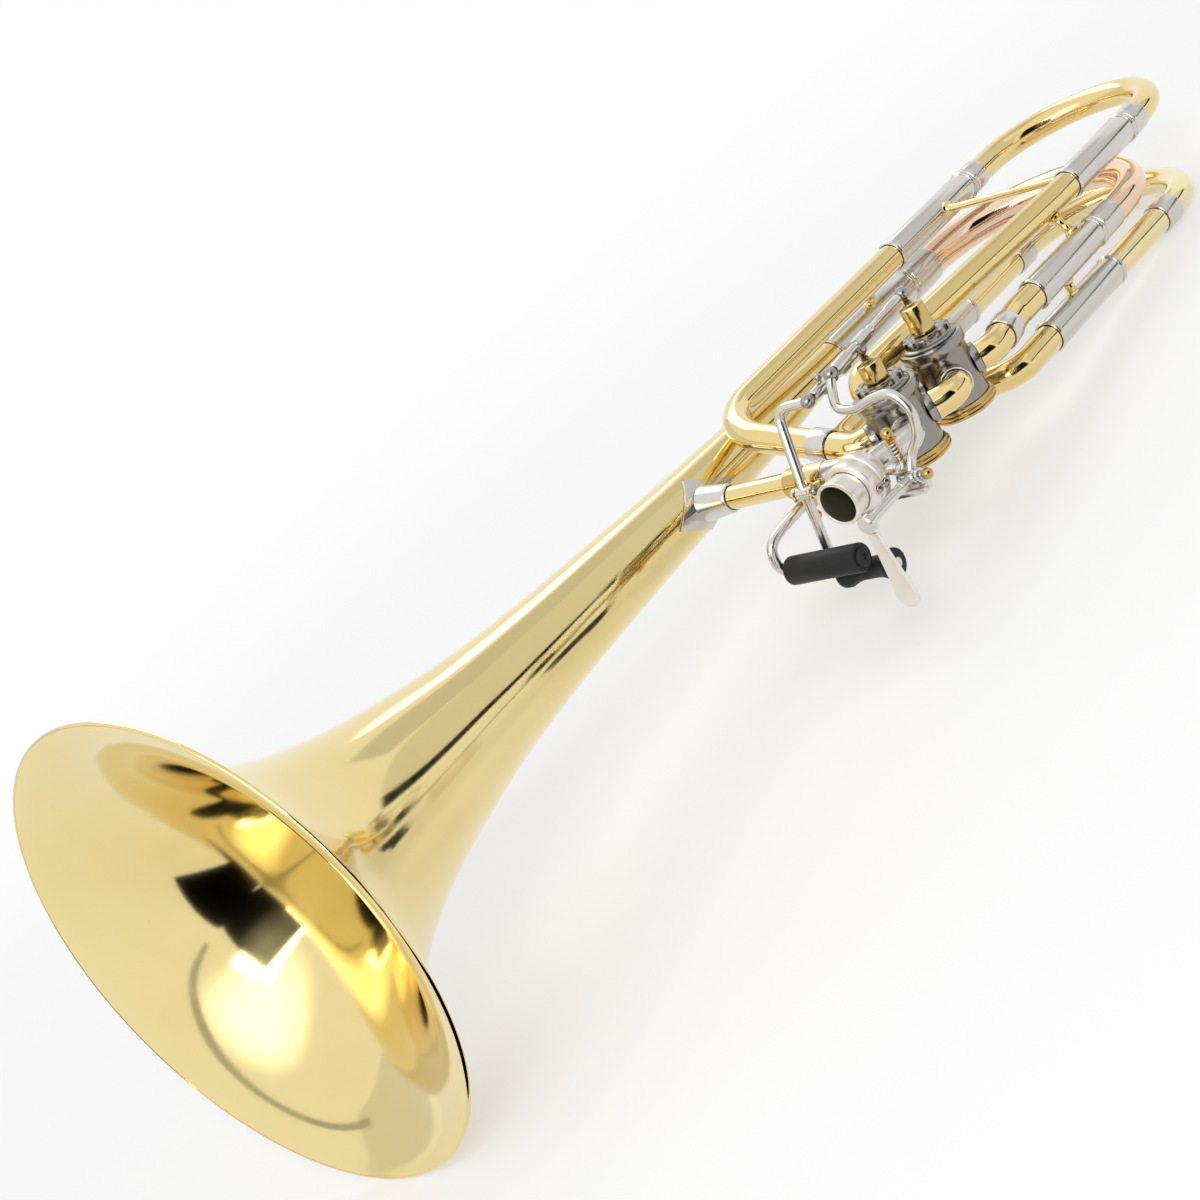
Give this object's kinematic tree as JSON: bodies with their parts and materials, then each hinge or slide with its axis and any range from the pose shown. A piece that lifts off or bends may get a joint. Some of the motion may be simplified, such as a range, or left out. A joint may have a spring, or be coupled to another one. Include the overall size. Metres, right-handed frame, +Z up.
{
  "type": "bass trombone bell section",
  "caption": "Bell section of a bass trombone with two inline rotary valves, thumb levers, link rods and tuning slides.",
  "frame": {"origin": "centre of the bounding box's underside, with the horn lying on its bell rim and valve loop", "axes": "+Y runs along the horn from the bell mouth to the tail, +X from the bell towards the neckpipe, +Z up"},
  "size_m": [0.2962, 0.751, 0.2508],
  "materials": {
    "brass": "lacquered yellow brass",
    "pale_brass": "lacquered pale brass",
    "rose_brass": "lacquered rose brass",
    "gold_brass": "polished brass",
    "nickel": "polished nickel silver",
    "satin_nickel": "satin nickel silver",
    "rotor_metal": "machined nickel silver",
    "black_grip": "satin black"
  },
  "bodies": {
    "horn": {"valve_1_casing": "satin_nickel", "valve_1_top_plate": "satin_nickel", "valve_1_cap": "gold_brass", "valve_2_casing": "satin_nickel", "valve_2_top_plate": "satin_nickel", "valve_2_cap": "gold_brass", "bell": "brass", "bell_slide_sleeve": "nickel", "neck_slide_sleeve": "nickel", "neckpipe": "brass", "neckpipe_band": "nickel", "valve_link": "brass", "valve_link_band": "nickel", "gooseneck": "nickel", "receiver": "nickel", "receiver_collar": "nickel", "thumbscrew_spring": "nickel", "loop_1_knuckle": "brass", "loop_1_knuckle_band": "nickel", "loop_1_bow": "brass", "loop_1_out_sleeve": "nickel", "loop_1_back_sleeve": "nickel", "loop_1_return": "brass", "loop_2_near_bend": "brass", "loop_2_near_sleeve": "nickel", "loop_2_far_sleeve": "nickel", "loop_2_far_bend": "brass", "brace_plate": "nickel", "brace_tube": "brass", "brace_band": "nickel", "lever_1_bracket": "brass", "hand_rest_wire": "nickel", "hand_rest_clamp": "gold_brass", "loop_1_strut": "brass", "slide_brace": "brass", "loop_2_brace": "brass", "bell_stem_brace": "brass"},
    "main_slide": {"main_crook": "rose_brass", "main_inner_bell_side": "nickel", "main_inner_neck_side": "nickel"},
    "loop_1_slide": {"loop_1_crook": "brass", "loop_1_inner_out": "nickel", "loop_1_inner_back": "nickel"},
    "loop_2_slide": {"loop_2_crook": "pale_brass", "loop_2_near_inner": "pale_brass", "loop_2_far_inner": "pale_brass", "loop_2_near_ferrule": "nickel", "loop_2_far_ferrule": "nickel"},
    "lever_1": {"lever_1_wire": "nickel"},
    "spool": {"lever_1_spool": "black_grip"},
    "rotor_1": {"valve_1_rotor": "rotor_metal", "valve_1_stop_arm": "brass"},
    "rod_1": {"link_rod_1": "nickel"},
    "lever_2": {"lever_2_wire": "nickel", "lever_2_paddle": "nickel"},
    "rotor_2": {"valve_2_rotor": "rotor_metal", "valve_2_stop_arm": "brass"},
    "rod_2": {"link_rod_2": "nickel"},
    "hand_grip": {"hand_rest_grip": "black_grip"},
    "thumbscrew": {"collar_thumbscrew": "gold_brass"}
  },
  "joints": [
    {"name": "main_tuning_slide", "type": "slide", "parent": "horn", "child": "main_slide", "axis": [-0.007, 0.993, -0.1179], "range_m": [0, 0.05]},
    {"name": "loop_1_tuning_slide", "type": "slide", "parent": "horn", "child": "loop_1_slide", "axis": [-0.007, 0.993, -0.1179], "range_m": [0, 0.045]},
    {"name": "loop_2_tuning_slide", "type": "slide", "parent": "horn", "child": "loop_2_slide", "axis": [-0.007, 0.993, -0.1179], "range_m": [-0.044, 0.008]},
    {"name": "lever_1_pivot", "type": "hinge", "parent": "horn", "child": "lever_1", "pos_m": [0.07266, -0.02186, 0.07377], "axis": [0.993, -0.007, -0.1179], "range_deg": [0, 29.5], "stiffness_Nm_per_rad": 0.3, "springref_deg": -22.92},
    {"name": "lever_1_spool_turn", "type": "hinge", "parent": "lever_1", "child": "spool", "pos_m": [0.087, -0.03302, 0.02978], "axis": [0.993, -0.007, -0.1179], "continuous": true},
    {"name": "rotor_1_turn", "type": "hinge", "parent": "horn", "child": "rotor_1", "pos_m": [0.0981, 0.03257, 0.06422], "axis": [0.1179, 0.1179, 0.986], "range_deg": [0, 90]},
    {"name": "link_rod_1_run", "type": "slide", "parent": "horn", "child": "rod_1", "axis": [-0.007, 0.993, -0.1179], "range_m": [-0.0212, 0]},
    {"name": "lever_2_pivot", "type": "hinge", "parent": "horn", "child": "lever_2", "pos_m": [0.13087, -0.01615, 0.05903], "axis": [0.993, -0.007, -0.1179], "range_deg": [0, 22.5], "stiffness_Nm_per_rad": 0.4, "springref_deg": -22.92},
    {"name": "rotor_2_turn", "type": "hinge", "parent": "horn", "child": "rotor_2", "pos_m": [0.09778, 0.07825, 0.0588], "axis": [0.1179, 0.1179, 0.986], "range_deg": [0, 90]},
    {"name": "link_rod_2_run", "type": "slide", "parent": "horn", "child": "rod_2", "axis": [-0.007, 0.993, -0.1179], "range_m": [-0.0212, 0]},
    {"name": "hand_grip_turn", "type": "hinge", "parent": "horn", "child": "hand_grip", "pos_m": [0.0777, -0.04432, 0.04543], "axis": [0.993, -0.007, -0.1179], "continuous": true},
    {"name": "collar_thumbscrew_turn", "type": "hinge", "parent": "horn", "child": "thumbscrew", "pos_m": [0.1267, -0.01033, 0.06593], "axis": [0.1179, 0.1179, 0.986], "continuous": true}
  ],
  "couplings": [
    {"joint": "rotor_1_turn", "follows": "lever_1_pivot", "ratio": 3.0508},
    {"joint": "link_rod_1_run", "follows": "lever_1_pivot", "m_per_rad": -0.041175},
    {"joint": "rotor_2_turn", "follows": "lever_2_pivot", "ratio": 4},
    {"joint": "link_rod_2_run", "follows": "lever_2_pivot", "m_per_rad": -0.053985}
  ]
}
